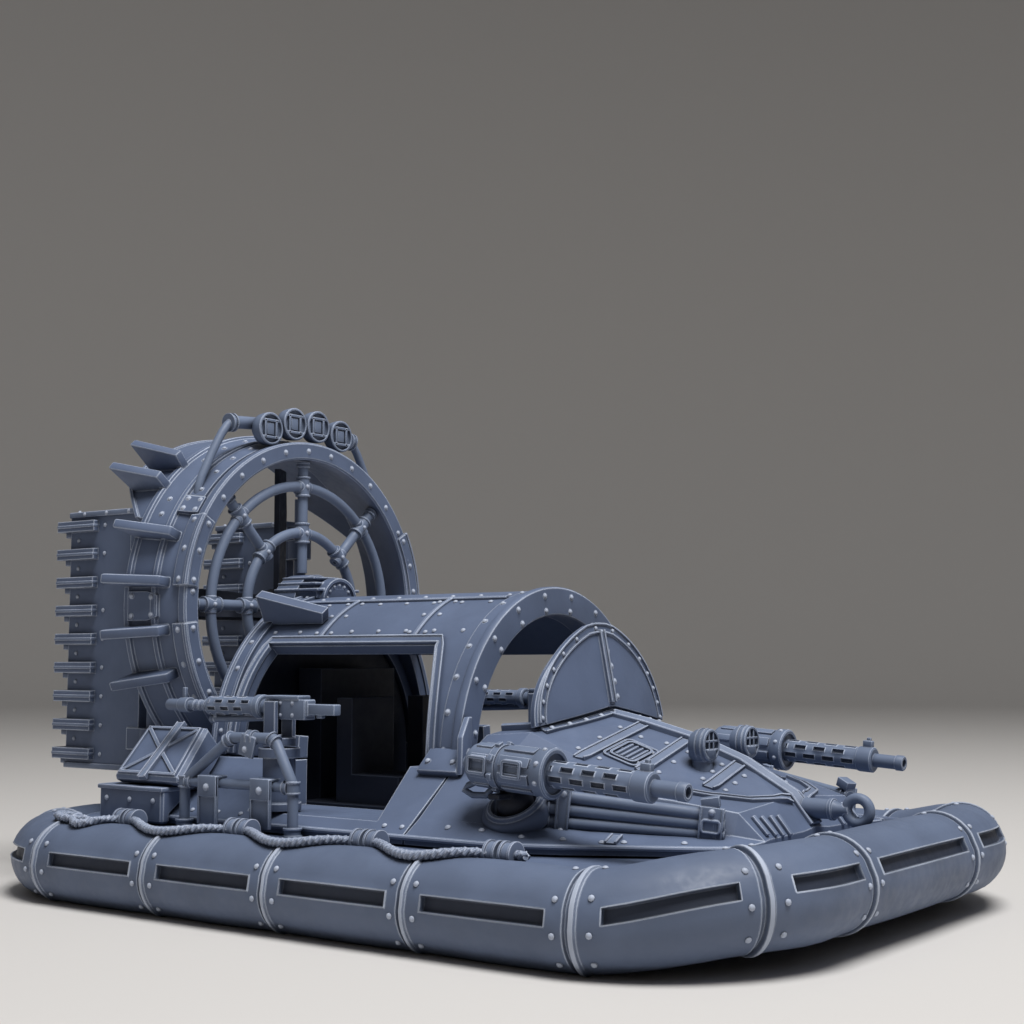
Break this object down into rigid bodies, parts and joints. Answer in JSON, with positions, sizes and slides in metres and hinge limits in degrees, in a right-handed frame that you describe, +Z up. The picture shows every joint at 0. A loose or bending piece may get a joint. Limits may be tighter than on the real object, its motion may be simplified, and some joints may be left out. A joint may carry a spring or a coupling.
{
  "type": "hovercraft miniature",
  "caption": "Tabletop hovercraft miniature in blue-grey resin: ring skirt, riveted hull and cabin, ducted fan with guard, rudders, lamps and guns that turn on their mounts.",
  "frame": {"origin": "on the floor under the middle of the whole object's box", "axes": "+X to the bow, +Y to port, +Z up"},
  "size_m": [0.17, 0.1108, 0.0875],
  "materials": {
    "resin": "unpainted cast resin, matt, blue-grey"
  },
  "bodies": {
    "hull": {"skirt_tube": "resin", "hull_deck": "resin", "hull_side_starboard": "resin", "hull_side_port": "resin", "nose_body": "resin", "nose_ridge": "resin", "cabin_roof": "resin", "cabin_side_starboard": "resin", "cabin_side_port": "resin", "front_arch": "resin", "rear_arch": "resin", "rear_bulkhead": "resin", "shield": "resin", "duct_ring": "resin", "duct_cradle": "resin", "fan_guard": "resin", "fan_nacelle": "resin", "rudder_post_starboard": "resin", "rudder_post_port": "resin", "light_bar": "resin", "headlight_starboard": "resin", "headlight_port": "resin", "bow_socket_starboard": "resin", "bow_socket_port": "resin", "gun_pedestal_starboard": "resin", "gun_pedestal_port": "resin", "pipe_rack_starboard": "resin", "pipe_rack_port": "resin", "side_rail_starboard": "resin", "side_rail_port": "resin", "stores_box_starboard": "resin", "stores_box_port": "resin", "fuel_can_starboard": "resin", "fuel_can_port": "resin", "roof_fin_starboard": "resin", "roof_fin_port": "resin", "tow_eye": "resin", "grab_rope_starboard": "resin", "grab_rope_port": "resin", "cabin_seats": "resin", "engine_block": "resin"},
    "fan": {"fan_rotor": "resin"},
    "rudder_starboard": {"rudder_starboard": "resin"},
    "rudder_port": {"rudder_port": "resin"},
    "bow_mount_starboard": {"bow_mount_starboard": "resin"},
    "bow_mount_port": {"bow_mount_port": "resin"},
    "bow_gun_starboard": {"bow_gun_starboard": "resin"},
    "bow_gun_port": {"bow_gun_port": "resin"},
    "side_mount_starboard": {"side_mount_starboard": "resin"},
    "side_mount_port": {"side_mount_port": "resin"},
    "side_gun_starboard": {"side_gun_starboard": "resin"},
    "side_gun_port": {"side_gun_port": "resin"}
  },
  "joints": [
    {"name": "fan_spin", "type": "hinge", "parent": "hull", "child": "fan", "pos_m": [-0.04511, 0, 0.0494], "axis": [1, 0, 0], "continuous": true},
    {"name": "rudder_starboard_swing", "type": "hinge", "parent": "hull", "child": "rudder_starboard", "pos_m": [-0.05841, -0.0193, 0.0435], "axis": [0, 0, 1], "range_deg": [-20, 20]},
    {"name": "rudder_port_swing", "type": "hinge", "parent": "hull", "child": "rudder_port", "pos_m": [-0.05841, 0.0193, 0.0435], "axis": [0, 0, 1], "range_deg": [-20, 20]},
    {"name": "bow_mount_starboard_yaw", "type": "hinge", "parent": "hull", "child": "bow_mount_starboard", "pos_m": [0.03569, -0.033, 0.0189], "axis": [0, 0, -1], "range_deg": [-4, 25]},
    {"name": "bow_gun_starboard_pitch", "type": "hinge", "parent": "bow_mount_starboard", "child": "bow_gun_starboard", "pos_m": [0.03569, -0.036, 0.0243], "axis": [0, -1, 0], "range_deg": [0, 18]},
    {"name": "bow_mount_port_yaw", "type": "hinge", "parent": "hull", "child": "bow_mount_port", "pos_m": [0.03569, 0.033, 0.0189], "axis": [0, 0, 1], "range_deg": [-4, 25]},
    {"name": "bow_gun_port_pitch", "type": "hinge", "parent": "bow_mount_port", "child": "bow_gun_port", "pos_m": [0.03569, 0.036, 0.0243], "axis": [0, -1, 0], "range_deg": [0, 18]},
    {"name": "side_mount_starboard_yaw", "type": "hinge", "parent": "hull", "child": "side_mount_starboard", "pos_m": [-0.00881, -0.036, 0.0256], "axis": [0, 0, 1], "range_deg": [-8, 90]},
    {"name": "side_gun_starboard_pitch", "type": "hinge", "parent": "side_mount_starboard", "child": "side_gun_starboard", "pos_m": [-0.00881, -0.036, 0.032], "axis": [0, 1, 0], "range_deg": [-2, 30]},
    {"name": "side_mount_port_yaw", "type": "hinge", "parent": "hull", "child": "side_mount_port", "pos_m": [-0.00881, 0.036, 0.0256], "axis": [0, 0, -1], "range_deg": [-8, 90]},
    {"name": "side_gun_port_pitch", "type": "hinge", "parent": "side_mount_port", "child": "side_gun_port", "pos_m": [-0.00881, 0.036, 0.032], "axis": [0, 1, 0], "range_deg": [-2, 30]}
  ],
  "couplings": [
    {"joint": "rudder_port_swing", "follows": "rudder_starboard_swing", "ratio": 1}
  ]
}
